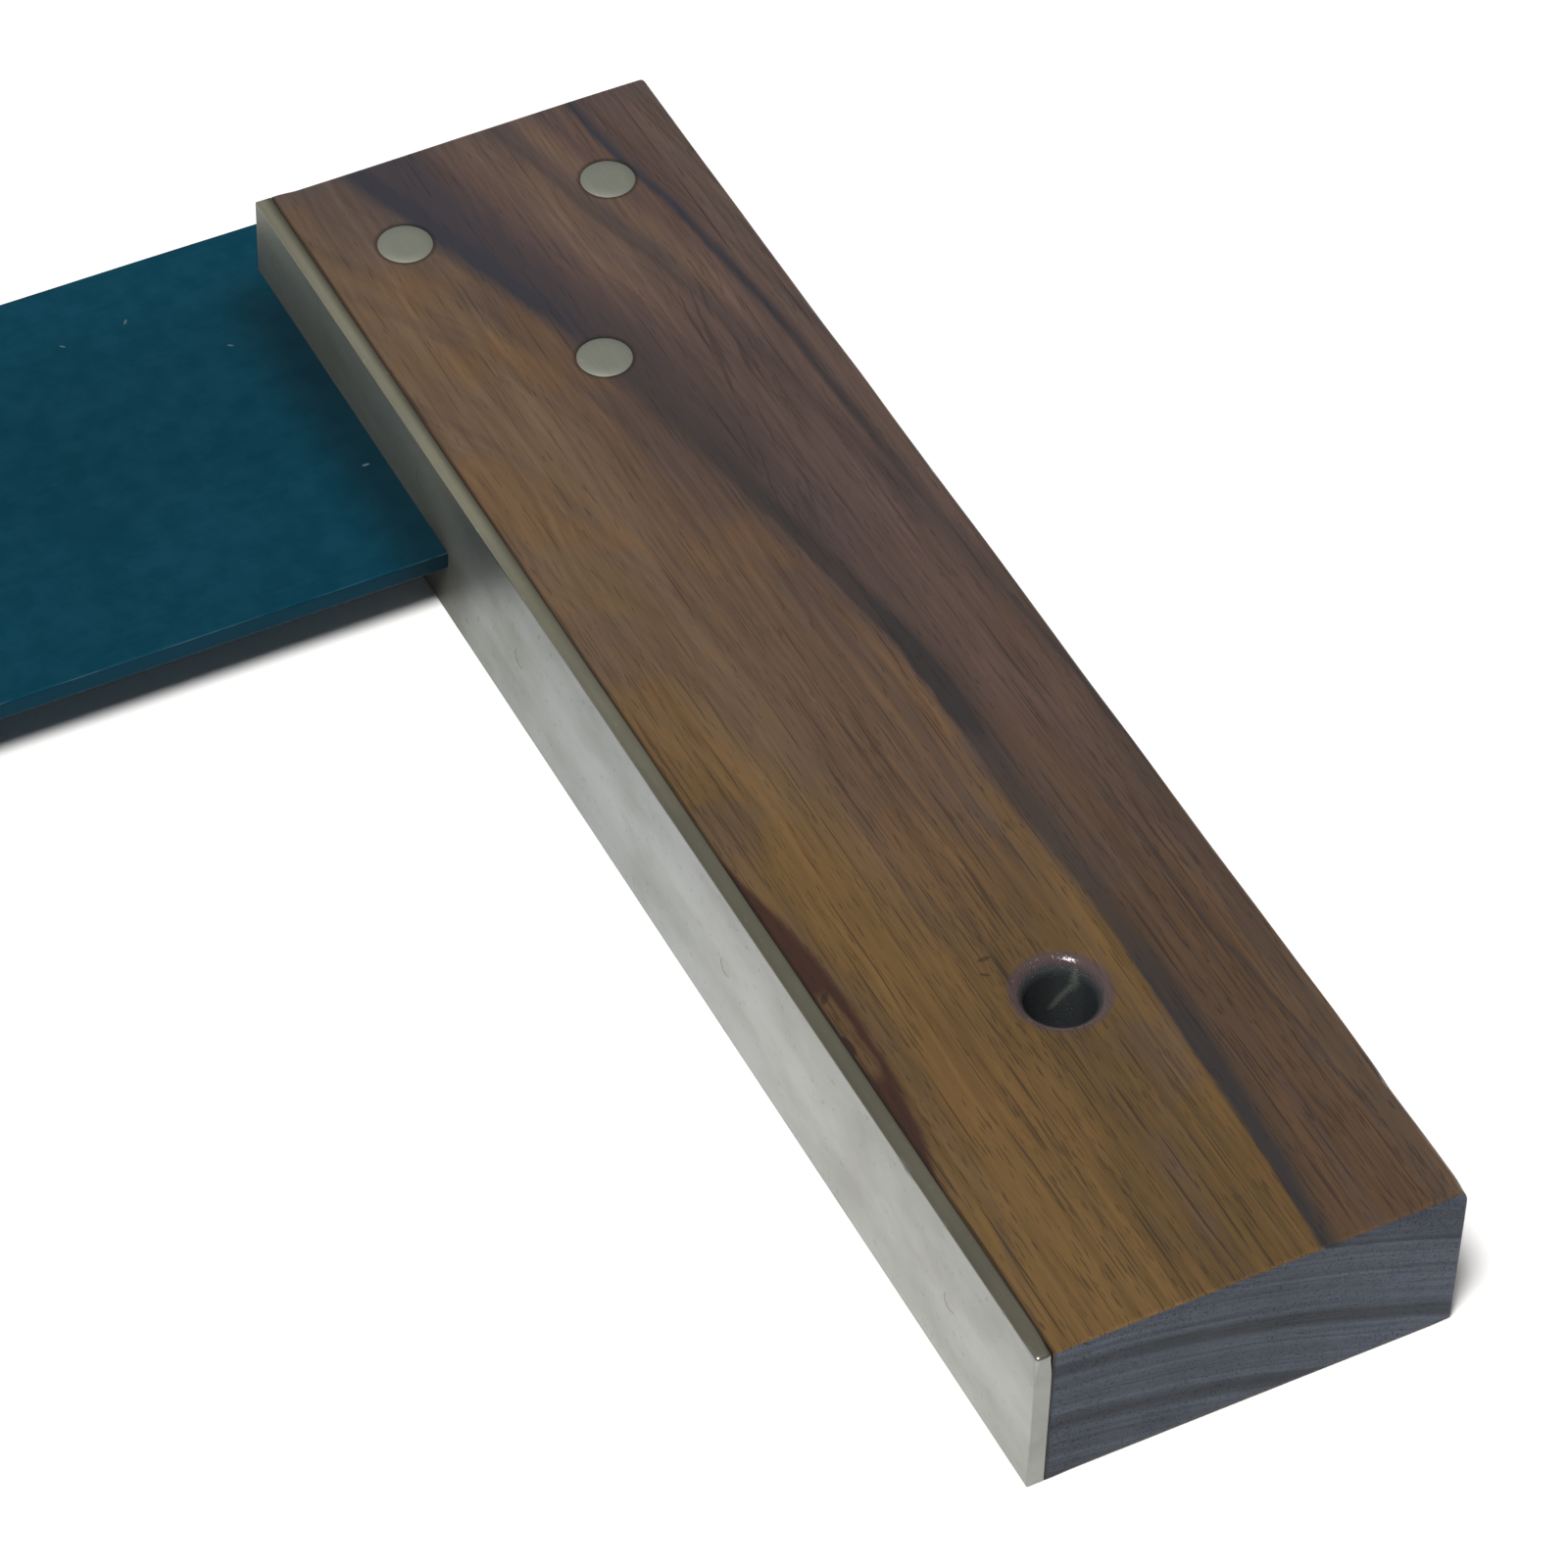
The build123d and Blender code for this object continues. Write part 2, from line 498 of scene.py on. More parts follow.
def thin_veins(wood, level, inside):
    """The thin veins on the upper face, and the rings that show at the ends and underneath."""
    along = wood.along
    thin_at = along.follow(THIN_VEIN, STOCK_LENGTH, STOCK_WIDTH + 2)
    thin = band(level, thin_at - 0.5, thin_at + 0.6, 0.8, 1.5)
    thin = thin * along.follow(THIN_STRENGTH, STOCK_LENGTH, 1)
    late_at = along.follow(LATE_STREAK, STOCK_LENGTH, STOCK_WIDTH)
    late = band(level, late_at - 0.2, late_at + 0.2, 0.6, 0.6)
    late = late * along.follow(LATE_STRENGTH, STOCK_LENGTH, 1)
    veins = thin.larger(late)
    for depth, half, strength in DEEP_RINGS:
        veins = veins.larger(band(inside, depth - half, depth + half, 0.7, 1.2) * strength)
    return veins


def slanted_streaks(wood, level):
    """Short dark streaks that cross between the two veins at a slight slant."""
    slant = level + (wood.along - 45) * 0.16
    streaks = wood.noise((0.5, 12, 3), 1.5, 0.5, (slant, wood.along, wood.up), 4.2).step(0.56, 0.66)
    return streaks * (wood.along - 46).size().step(26, 12) * (slant - 31.5).size().step(4.5, 2.0)


def plate_pocket(wood, level):
    """The dark reddish pocket of grain against the face plate."""
    reach = (wood.along - 121).size() / 21
    edge = (reach * reach - 1) * -2.9 + 1.6
    pocket = ((edge - level) / 1.1).step(-0.5, 0.5) * level.step(-6, -1)
    core = ((wood.along - 123.5).size() / 6.5).step(1.0, 0.6) * (level - 2.7).size().step(0.95, 0.5)
    knot = ((wood.along - 124.5) / 1.3).math("POWER", 2) + ((level - 2.1) / 0.45).math("POWER", 2)
    return (pocket * (core * -0.75 + 1)).larger(knot.step(1.6, 0.5))


def wood_zones(wood, level, front):
    """The wood's broad zones: pinkish or golden in front of the vein, rosy or brown behind it."""
    along = wood.along
    drift = wood.noise((9, 55, 9), 2.0, 0.5) - 0.5
    warmth = (along + drift * 90 - level * 0.8).step(40, 105)
    inner = wood.mix(warmth, seen_as(107, 88, 71), seen_as(106, 84, 55))
    middle = wood.mix(along.step(100, 128), seen_as(95, 77, 65), seen_as(96, 77, 52))
    inner = wood.mix(level.step(10, 19) * along.step(25, 50) * 0.85, inner, middle)
    outer = wood.mix((along + drift * 60).step(60, 130), seen_as(91, 75, 70), seen_as(88, 70, 56))
    return wood.mix((level - front).step(-1.0, 3.0), inner, outer)


def wood_patches(wood, level, front, colour):
    """Lighter and darker patches over the zones, one of them a painted highlight."""
    along = wood.along
    rim = level.step(38.6, 40.8) * ((along - 75).size().step(30, 75) * 0.75 + 0.25)
    pale = wood.mix(along.step(40, 100), seen_as(106, 92, 82), seen_as(108, 89, 72))
    halo = band(level, front - 4.5, front, 3.5, 1.0) * along.step(90, 72) * along.step(12, 26)
    # Painted highlight: a lighter slanted band on the upper face near the far end, standing in for
    # the oil's gloss.
    painted_sheen = (level - along * 0.22 - 25.5).size().step(5.5, 3.0) * along.step(42, 20)
    dusk = (level - along * 0.2 - 7).size().step(8, 2) * along.step(25, 8)
    greyed = along.step(4.5, 0.5)
    light = band(level, front - 2.8, front - 0.9, 1.6, 0.8)
    light = light * along.step(88, 104) * along.step(155, 120)
    patches = [
        (rim * 0.55, pale),
        (halo * 0.42, seen_as(70, 62, 64)),
        (painted_sheen * 0.7, seen_as(114, 94, 79)),
        (dusk * 0.5, seen_as(82, 73, 74)),
        (greyed * 0.4, seen_as(84, 77, 78)),
        (light * 0.5, seen_as(118, 92, 60)),
    ]
    for amount, tone in patches:
        colour = wood.mix(amount, colour, tone)
    return colour


def wood_colour(wood, radius, level):
    """The wood's colour before its pores: zones and patches, growth layers, veins and streaks."""
    front, front_radius = vein_front(wood)
    inside = front_radius - radius
    colour = wood_patches(wood, level, front, wood_zones(wood, level, front))
    layers = wood.noise((0.62, 80, 60), 3.0, 0.62, (inside, wood.along, wood.across), 1.3)
    inner = (front - level).step(-2, 2) * 0.7 + 0.3
    colour = wood.mix(layers.step(0.52, 0.66) * inner * 0.32, colour, seen_as(122, 92, 60))
    colour = wood.mix(layers.step(0.48, 0.34) * (inner * -0.26 + 0.56), colour, seen_as(76, 65, 62))
    glow = wood.noise((2.6, 20, 9), 2.5, 0.55, (inside, wood.along, wood.up), 5.5)
    colour = wood.mix(glow.step(0.54, 0.68) * inner * 0.34, colour, seen_as(116, 87, 58))
    colour = wood.mix(glow.step(0.44, 0.32) * 0.35, colour, seen_as(84, 74, 72))
    fine = wood.noise((0.15, 34, 9), 2.0, 0.55, (radius, wood.along, wood.across), 7.7)
    fibre = wood.noise((0.34, 9, 0.34), 3.0, 0.6, seed=2.1)
    patch = wood.noise((3.2, 12, 3.2), 2.0, 0.5, seed=4.9)
    tone = (fine - 0.5) * 0.75 + (fibre - 0.5) * 0.5 + (patch - 0.5) * 0.35 + 1.02
    colour = wood.brightened(colour, tone)
    colour = wood.mix(slanted_streaks(wood, level) * 0.5, colour, seen_as(60, 54, 54))
    colour = wood.mix(plate_pocket(wood, level) * 0.9, colour, seen_as(62, 44, 41))
    vein = broad_vein(wood, level, front).larger(thin_veins(wood, level, inside))
    uneven = (layers - 0.5) * 0.6 + (fine - 0.5) * 0.9 + 1
    vein = (vein * uneven).math("MULTIPLY", 0.95, clamp=True)
    dark = wood.mix(wood.along.step(60, 10), seen_as(61, 57, 57), seen_as(61, 60, 67))
    return wood.mix(vein, colour, dark)


# The pores' dashes, as (width, length, depth, seed of the noise), widths and lengths in mm.
PORES = [(0.20, 2.8, 0.8, 3.3), (0.17, 8.0, 0.75, 5.9), (0.26, 15.0, 1.0, 8.3)]


def wood_pores(wood):
    """1 in the open pores: dashes along the grain, dots where the grain is cut across."""
    crowd = wood.noise((7, 40, 7), 1.0, 0.5, seed=9.1)
    late = wood.along.step(20, 140) * 0.05 - 0.02
    pores = None
    for width, length, depth, seed in PORES:
        dashes = wood.noise((width, length, width), 1.0, 0.5, seed=seed)
        dashes = (dashes + (crowd - 0.5) * 0.12 + late).step(0.66, 0.74) * depth
        pores = dashes if pores is None else pores.larger(dashes)
    return pores


def from_axis(surface, x, y):
    """The distance from an upright axis, in mm."""
    across, along = surface.across - (x - FACE_X), surface.along - (FAR_Y - y)
    return (across * across + along * along).root()


END_GRAIN_PAINTED_LIGHT = (0.55, 0.79, 1.19)  # painted cool light: the greyish blue that stands in for the cool light falling on end grain

# Dark specks by the hanging hole, as (from the brass face, from the far end, size), in mm.
SPECKS = [(17.6, 120.6, 0.4), (16.8, 122.3, 0.3), (2.6, 118.6, 0.5)]


def slanted_spots(surface, places, length, width):
    """1 in small marks, each with a slant of its own, at (across, along, size) places in mm."""
    marks = None
    for number, (across, along, size) in enumerate(places):
        slant = 0.9 * math.sin(2.4 * number)
        right, ahead = surface.across - across, surface.along - along
        lengthwise = (right * math.cos(slant) + ahead * math.sin(slant)) / (size * length)
        sideways = (ahead * math.cos(slant) - right * math.sin(slant)) / (size * width)
        spot = (lengthwise.math("POWER", 2) + sideways.math("POWER", 2)).step(1.3, 0.3)
        marks = spot if marks is None else marks.larger(spot)
    return marks


def wood_grime(wood):
    """1 where dirt has settled: round the rivets and along the joint with the face plate."""
    grime = wood.across.step(2.15, 1.75)
    for name in RIVETS:
        x, y, _ = rivet_place(name)
        grime = grime.larger(from_axis(wood, x, y).step(3.25, 2.85) * 0.7)
    specks = slanted_spots(wood, SPECKS, 1.8, 0.7) * wood.facing("Z").step(0.7, 0.9) * 0.7
    return grime.larger(specks)


def bore_scuff(wood):
    """1 in the pale mark that runs slantwise down the hanging hole's wall."""
    across, along = wood.across - (HOLE_PLACE.x - FACE_X), wood.along - (FAR_Y - HOLE_PLACE.y)
    sideways = across * 0.88 + along * 0.475
    depth = wood.up * -1 + TOP_Z
    upper = (sideways - 1.3).size() + (depth - 2.0).size() * 0.35
    slant = (sideways + depth * 0.55 - 2.6).size() + (depth - 4.2).size().step(1.6, 2.4)
    return upper.step(0.8, 0.1).larger(slant.step(0.6, 0.0)) * 0.38


def rosewood():
    """Oiled rosewood-like hardwood, with painted cool light on its end grain and painted shade in the
    hanging hole's bore.
    """
    wood = Surface("rosewood")
    radius, level = ring_fields(wood)
    wander = wood.noise((14, 30, 14), 2.0, 0.5, seed=1.9)
    ragged = wood.noise((1.6, 7, 1.6), 2.0, 0.6, seed=6.4)
    level = level + (wander - 0.5) * 1.5 + (ragged - 0.5) * 1.1
    radius = radius + (wander - 0.5) * 0.9
    colour = wood_colour(wood, radius, level)
    pores = wood_pores(wood)
    colour = wood.mix(pores * (wood.along.step(70, 140) * 0.2 + 0.45), colour, seen_as(50, 42, 40))
    end_grain = wood.facing("Y").step(0.6, 0.9)
    rings = wood.noise((0.5, 30, 30), 2.0, 0.5, (radius, wood.along, wood.across), 3.1)
    colour = wood.brightened(colour, (rings - 0.5) * 1.6 * end_grain + 1)
    # Painted cool light: the end grain is drawn greyish blue, lighter towards the back, as if lit by
    # a cool lamp.
    end_lightness = wood.lightness(colour) * (wood.across.step(24, 42) * 0.26 + 1)
    painted_cool_end_grain = wood.brightened(END_GRAIN_PAINTED_LIGHT, end_lightness)
    colour = wood.mix(end_grain * 0.9, colour, painted_cool_end_grain)
    colour = wood.mix(wood_grime(wood) * 0.75, colour, seen_as(42, 36, 34))
    hole = from_axis(wood, HOLE_PLACE.x, HOLE_PLACE.y)
    mouth = HOLE_RADIUS + HOLE_CHAMFER
    colour = wood.mix(hole.step(mouth + 0.5, mouth - 0.4) * 0.8, colour, seen_as(80, 70, 76))
    # Painted shade: the bore's wall is drawn near black, far darker than the wood, with the pale
    # scuff over it.
    bore = wood.mix(bore_scuff(wood), (0.03, 0.034, 0.036, 1), (0.16, 0.17, 0.15, 1))
    colour = wood.mix(hole.step(HOLE_RADIUS + 0.8, HOLE_RADIUS + 0.1), colour, bore)
    dirt = wood.noise((5, 9, 5), 3.0, 0.6, seed=8.8)
    rubbed = wood.rounded() * 0.12
    wood.set("Base Color", wood.brightened(colour, rubbed * 1.6 + 1))
    gloss = hole.step(mouth + 0.2, mouth - 0.2) * 0.16 + rubbed
    wood.set("Roughness", (dirt - 0.5) * 0.22 + pores * 0.2 + end_grain * 0.14 - gloss + 0.42)
    wood.set("Specular IOR Level", 0.26)
    fibre = wood.noise((0.12, 5, 0.12), 2.0, 0.6, seed=2.7)
    wood.bump(pores * -0.8 + fibre * 0.3 + 0.5, 0.04)
    return wood.material


# ---- Metals ----


def scratches(surface, lengths, seed, cover):
    """Fine scratches along one direction, which come and go."""
    lines = surface.noise(lengths, 1.0, 0.5, seed=seed)
    where = surface.noise((8, 12, 8), 2.0, 0.5, seed=seed + 3)
    return lines.step(0.62, 0.70) * where.step(0.62 - cover, 0.78 - cover)


def filed_edge(metal, colour, cloud, fine):
    """The plate's upper edge: painted highlight and shade across it, as on an edge crowned at its far
    end and flatter at its free one, where it is also darker.
    """
    along, across = metal.along, metal.across
    darker = [*[0.845 * channel for channel in colour[:3]], 1]
    tint = metal.mix(along.step(108, 80), darker, colour)
    tint = metal.brightened(tint, (cloud - 0.5) * 0.3 + (fine - 0.5) * 0.16 + 1)
    # Painted highlight and shade: the brightness across the edge stands in for the light on a crowned
    # edge, easing to a flatter one towards the free end.
    crowned = across.step(0.0, 0.5) * 0.15 + across.step(1.8, 0.6) * 0.95 + 0.3
    flat = across.step(0.1, 0.8) * 0.12 + across.step(1.9, 1.2) * 0.25 + 0.62
    shape = (crowned - flat) * along.step(95, 35) + flat
    return metal.brightened(tint, shape * (along.step(0, 26) * 0.09 + 0.91))


def face_tones_and_painted_light(metal, body, on_face):
    """The brass body with painted reflection and shade on the plate's wide face: lighter and darker
    bands, painted shade in the corner by the blade, and a bluer tint for cool light; it is also
    darker at the bottom of its near end.
    """
    along, up = metal.along, metal.up
    # Painted reflection and shade: the upper and middle bands stand in for what the face mirrors, and
    # painted shade darkens the corner by the blade.
    painted_upper_band = up.step(13.0, 16.0) * (along.step(40, 48) * -0.25 + 0.14)
    painted_middle_band = (up - 8.5).size().step(4.5, 1.0) * along.step(48, 56) * 0.11
    painted_shade_by_blade = along.step(38, 44) * along.step(52, 46) * up.step(11, 7) * 0.3
    tip = along.step(152, 162) * up.step(5, 1) * 0.2
    body = metal.brightened(body, (painted_upper_band + painted_middle_band - painted_shade_by_blade - tip) * on_face + 1)
    # Painted cool light: a bluer tint over the middle of the face.
    cool = on_face * along.step(44, 50) * along.step(125, 75)
    return metal.mix(cool, body, (1.0, 1.05, 1.13, 1), "MULTIPLY")


def brass(name, colour, tarnish, roughness, lengths, edge=None):
    """Pale brass, ground flat, scratched and a little tarnished, with its upper edge tinted, and
    painted light and shade on its wide face and upper edge.
    """
    metal = Surface(name, Metallic=0.86)
    cloud = metal.noise((6, 11, 6), 3.0, 0.6, seed=0.7)
    spots = metal.noise((0.9, 0.9, 0.9), 2.0, 0.6, seed=5.1).step(0.62, 0.75)
    fine = metal.noise(lengths, 2.0, 0.6, seed=2.9)
    marks = scratches(metal, lengths, 4.4, 0.1)
    handled = metal.along.step(115, 45)
    on_face = metal.facing("X").step(0.7, 0.95)
    # Painted light: the face over the blade is drawn lighter, standing in for what it mirrors there;
    # it is also rougher there.
    painted_light_and_dull_over_blade = metal.along.step(58, 44) * on_face
    aged = cloud.step(0.35, 0.75) * 0.3 + spots * 0.2 + handled * 0.5
    body = metal.mix(aged, colour, tarnish)
    rubbed = metal.rounded() * metal.noise((3, 3, 3), 2.0, 0.5, seed=1.4).step(0.35, 0.6)
    # Painted reflection: a darker slanted band beside the blade stands in for the shade the face
    # mirrors from under the blade.
    corner = metal.along - metal.up * 0.85
    painted_reflection_shade = corner.step(28, 38) * corner.step(49, 42) * 0.32
    tone = (fine - 0.5) * 0.16 + rubbed * 0.15 + painted_light_and_dull_over_blade * 0.29 - painted_reflection_shade + 1
    body = face_tones_and_painted_light(metal, metal.brightened(body, tone), on_face)
    if edge:
        filed = metal.facing("Z").step(0.7, 0.95)
        body = metal.mix(filed, body, filed_edge(metal, edge, cloud, fine))
    metal.set("Base Color", body)
    dull = (cloud - 0.5) * 0.16 + marks * 0.12 + spots * 0.12 - rubbed * 0.06 + handled * 0.08
    metal.set("Roughness", dull + painted_light_and_dull_over_blade * 0.12 + roughness)
    metal.bump(fine * 0.4 - marks * 0.6 + cloud * 0.6 + 0.5, 0.006)
    return metal.material


# Bare marks on the blade, as (from the brass face, from the stock's far end, size), in mm.
BLADE_MARKS = [
    (-2.0, 30.5, 0.3), (-7.0, 9.3, 0.25), (-15.0, 1.7, 0.28),
    (-22.0, 2.3, 0.25), (-71.0, 20.0, 0.4), (-118.0, 37.0, 0.35),
]
STEEL_GLOSS = 0.003  # what the gloss of the blade's oxide adds to its colour


def blued_steel():
    """Spring steel under a blue-black oxide, mottled, scratched and rubbed bare at the arrises, with
    painted shade towards the brass face and its narrow sides painted bluer and darker.
    """
    steel = Surface("blued_steel", Metallic=0.4)
    mottle = steel.noise((2.6, 2.6, 2.6), 4.0, 0.62, seed=1.1)
    cloud = steel.noise((22, 16, 16), 3.0, 0.55, seed=2.2)
    grind = steel.noise((14, 0.22, 4), 2.0, 0.6, seed=6.6)
    fine = scratches(steel, (9, 0.16, 3), 7.3, 0.04)
    dark_blue, pale_blue = seen_as(18, 66, 84, STEEL_GLOSS), seen_as(24, 72, 91, STEEL_GLOSS)
    blue = steel.mix(mottle.step(0.3, 0.7), dark_blue, pale_blue)
    toward_edge = steel.along.step(6.0, -4.0) * 0.16
    # Painted light: the narrow sides are drawn bluer and darker than the faces, standing in for how
    # they are lit.
    narrow_sides = steel.facing("Z").step(0.8, 0.4)
    blue = steel.mix(narrow_sides * 0.8, blue, seen_as(9, 64, 84, STEEL_GLOSS))
    tone = (cloud - 0.5) * 0.3 + (grind - 0.5) * 0.24 + toward_edge - narrow_sides * 0.25 + 1
    # Painted shade: the blade darkens towards the brass face, standing in for the stock's shade and
    # dark reflection on it.
    painted_shade_by_plate = steel.across.step(-8.0, -1.0) * steel.along.step(-3, 9) * 0.65
    blue = steel.mix(painted_shade_by_plate, steel.brightened(blue, tone), seen_as(26, 40, 46, STEEL_GLOSS))
    rubbed = steel.rounded() * steel.noise((7, 7, 7), 3.0, 0.6, seed=3.8).step(0.42, 0.68)
    bare = slanted_spots(steel, BLADE_MARKS, 1.4, 0.5).larger(rubbed * 0.35).larger(fine * 0.02)
    steel.set("Base Color", steel.mix(bare, blue, seen_as(100, 120, 128)))
    steel.set("Roughness", (mottle - 0.5) * 0.2 + (cloud - 0.5) * 0.1 + 0.48)
    steel.set("Specular IOR Level", 0.05)
    steel.bump(mottle * 0.5 + grind * 0.4 - fine * 0.5, 0.008)
    return steel.material


# ---- The pieces ----


FAR_END_FALL = 0.32  # how far the stock's far end falls back towards the face


def out_of_square(point):
    """The point's place on a truly square stock, whose far end doesn't fall back."""
    by_face = 1 - smooth_step(point.x - FACE_X, 0, 24)
    by_end = smooth_step(point.y, FAR_Y - 9, FAR_Y - 3)
    return Vector((point.x, point.y + FAR_END_FALL * by_face * by_end, point.z))


def back_arris(from_far_end, radius, bite):
    """A chip in the stock's upper back arris, as its round cutter's place and radius."""
    offset = (radius - bite) / math.sqrt(2)
    return (WOOD_HIGH.x + offset, FAR_Y - from_far_end, TOP_Z + offset), radius


STOCK_CHIPS = [
    back_arris(148.5, 1.9, 0.5), back_arris(118, 1.0, 0.3),
    back_arris(63, 1.2, 0.3), back_arris(22, 0.9, 0.25),
]


def stock_distance(point):
    """The stock's worn shape: sharp at the plate, eased elsewhere, and rounder at the free end."""
    open_side = smooth_step(point.x - WOOD_LOW.x, 0.6, 3.0)
    wear = noise.noise(Vector((point.x * 0.05, point.y * 0.09, point.z * 0.05)))
    arris = 0.10 + open_side * (0.42 + 0.22 * wear)
    to_corner = Vector((point.x - WOOD_HIGH.x, point.y - WOOD_LOW.y, 0)).length
    worn = 1 - smooth_step(to_corner, 0.3, 2.4)
    free_end = 1 - smooth_step(point.y - WOOD_LOW.y, 13.0, 17.0)
    on_top_back = smooth_step(point.x, WOOD_HIGH.x - 5, WOOD_HIGH.x - 3) * (point.z > TOP_Z / 2)
    arris += worn * (0.45 if point.z > TOP_Z / 2 else 0.3) + free_end * on_top_back * 0.4
    corner = 0.12 + open_side * 0.38
    distance = block_distance(out_of_square(point), WOOD_LOW, WOOD_HIGH, corner, arris)
    return chipped(distance, point, STOCK_CHIPS)


# The hole's mouth from its bore outwards, as (out from the bore, down from the face), in chamfers.
MOUTH = [
    (0, 1.25), (0.06, 0.9), (0.2, 0.6), (0.42, 0.33),
    (0.7, 0.13), (1.05, 0.0), (1.3, -0.04),
]


def hole_cutter():
    """The hanging hole: a bore with a softened chamfer at each mouth."""
    mouth = [(HOLE_RADIUS + HOLE_CHAMFER * out, HOLE_CHAMFER * down) for out, down in MOUTH]
    upper = [(radius, TOP_Z - depth) for radius, depth in mouth]
    over, ends = 1.0, mouth[-1][0]
    first, last = [(0, -over), (ends, -over)], [(ends, TOP_Z + over), (0, TOP_Z + over)]
    profile = [*first, *reversed(mouth), *upper, *last]
    return turned("cutter", profile, (HOLE_PLACE.x, HOLE_PLACE.y, 0), UPRIGHT, HOLE_SIDES)


def blade_room():
    """The slot's cutter, a hairline larger than the blade."""
    gap = Vector((0, HAIRLINE, HAIRLINE))
    low = Vector((FACE_X - 1, BLADE_LOW.y, BLADE_LOW.z)) - gap
    high = Vector((WOOD_HIGH.x + 1, BLADE_HIGH.y + 1, BLADE_HIGH.z)) + gap
    return cutter_box(low, high)


def rivet_profile(grow=0.0):
    """(radius, height) pairs of a rivet, from face to face: a shank spread at both ends."""
    low, high = node_box(RIVETS[0])
    face = (high.x - low.x) / 2 + grow
    shank = face * 0.857
    sink, spread = 0.015 - grow, 0.8
    half = [
        (0, sink), (face * 0.5, sink), (face - 0.10, sink + 0.01),
        (face - 0.03, sink + 0.05), (face, sink + 0.13), (shank, spread),
    ]
    return half + [(radius, TOP_Z - height) for radius, height in reversed(half)]


def rivet_place(name):
    """The foot of a rivet's axis."""
    low, high = node_box(name)
    return ((low.x + high.x) / 2, (low.y + high.y) / 2, 0)


def rivet_holes():
    """The cutters of the rivets' holes, a hairline larger than the rivets."""
    profile = rivet_profile(HAIRLINE)
    return [turned("cutter", profile, rivet_place(name), UPRIGHT, CUTTER_SIDES) for name in RIVETS]


def pin_profile(length, radius, grow=0.0):
    """(radius, height) pairs of a plate pin from its flush end to the end in the wood."""
    flush, widest = 0.01 - grow, radius + grow
    return [
        (0, flush), (radius * 0.6, flush), (widest - 0.05, flush + 0.005), (widest, 0.06),
        (widest, length - 0.8), (radius * 0.45, length), (0, length),
    ]


def pin_turned(name, grow=0.0):
    """A plate pin, or the cutter of its hole where grow is above zero."""
    low, high = node_box(name)
    radius, length = (high.z - low.z) / 2, high.x - low.x
    origin = (low.x, (low.y + high.y) / 2, (low.z + high.z) / 2)
    profile = pin_profile(length, radius, grow)
    made = "cutter" if grow else name + "_brass"
    return turned(made, profile, origin, (1, 0, 0), PIN_SIDES, UNEVEN)


def make_stock():
    """The stock: the worn bar of wood, with everything that is let into it cut out."""
    mesh = block_mesh(WOOD_LOW, WOOD_HIGH, (3.0, 0.9, 2.4), stock_distance)
    piece = piece_from(mesh, "stock_wood")
    pin_holes = [pin_turned(name, HAIRLINE) for name in PINS]
    cut(piece, [hole_cutter(), blade_room(), *rivet_holes(), *pin_holes])
    return piece


# Two small nicks in the plate's upper arris, as (place, radius).
PLATE_CHIPS = [
    ((PLATE_LOW.x - 0.25, FAR_Y - 139.5, TOP_Z + 0.35), 0.75),
    ((PLATE_LOW.x - 0.5, FAR_Y - 101.0, TOP_Z + 0.5), 0.85),
]


def plate_distance(point):
    """The plate's shape: barely eased arrises, and a corner worn round at its near upper end."""
    wear = noise.noise(Vector((point.x, point.y * 0.12, point.z * 0.2)))
    to_corner = Vector((point.y - PLATE_LOW.y, point.z - TOP_Z)).length
    worn = 1 - smooth_step(to_corner, 0.5, 3.0)
    arris = 0.10 + 0.04 * wear + 0.35 * worn
    distance = block_distance(out_of_square(point), PLATE_LOW, PLATE_HIGH, 0.08 + 0.4 * worn, arris)
    return chipped(distance, point, PLATE_CHIPS)


def make_plate():
    """The face plate, with its slot and its pin holes."""
    mesh = block_mesh(PLATE_LOW, PLATE_HIGH, (0.4, 1.0, 2.4), plate_distance)
    piece = piece_from(mesh, "brass_plate")
    cut(piece, [blade_room(), *[pin_turned(name, HAIRLINE * 0.5) for name in PINS]])
    return piece


def blade_distance(point):
    """The blade's shape: long thin arrises eased unevenly, and rounded corners at the tip."""
    wear = noise.noise(Vector((point.x * 0.06, point.y * 0.06, point.z)))
    tip = 1 - smooth_step(point.x - BLADE_LOW.x, 1.0, 4.0)
    return block_distance(point, BLADE_LOW, BLADE_HIGH, 0.1 + 0.5 * tip, 0.13 + 0.05 * wear)


def make_blade():
    """The blade, with its rivet holes."""
    mesh = block_mesh(BLADE_LOW, BLADE_HIGH, (2.0, 3.0, 0.5), blade_distance)
    piece = piece_from(mesh, "steel_blade")
    cut(piece, rivet_holes())
    return piece


# Each kind of brass, as (colour, tarnished colour, roughness, lengths of its scratches in mm).
PLATE_BRASS = (0.28, 0.282, 0.266, 1), (0.135, 0.136, 0.100, 1), 0.34, (0.3, 14, 0.12)
RIVET_BRASS = (0.37, 0.38, 0.32, 1), (0.33, 0.335, 0.27, 1), 0.36, (0.14, 5, 0.14)
PIN_BRASS = (0.268, 0.268, 0.247, 1), (0.140, 0.135, 0.099, 1), 0.34, (0.3, 9, 0.12)
FILED_EDGE = (0.258, 0.243, 0.177, 1)


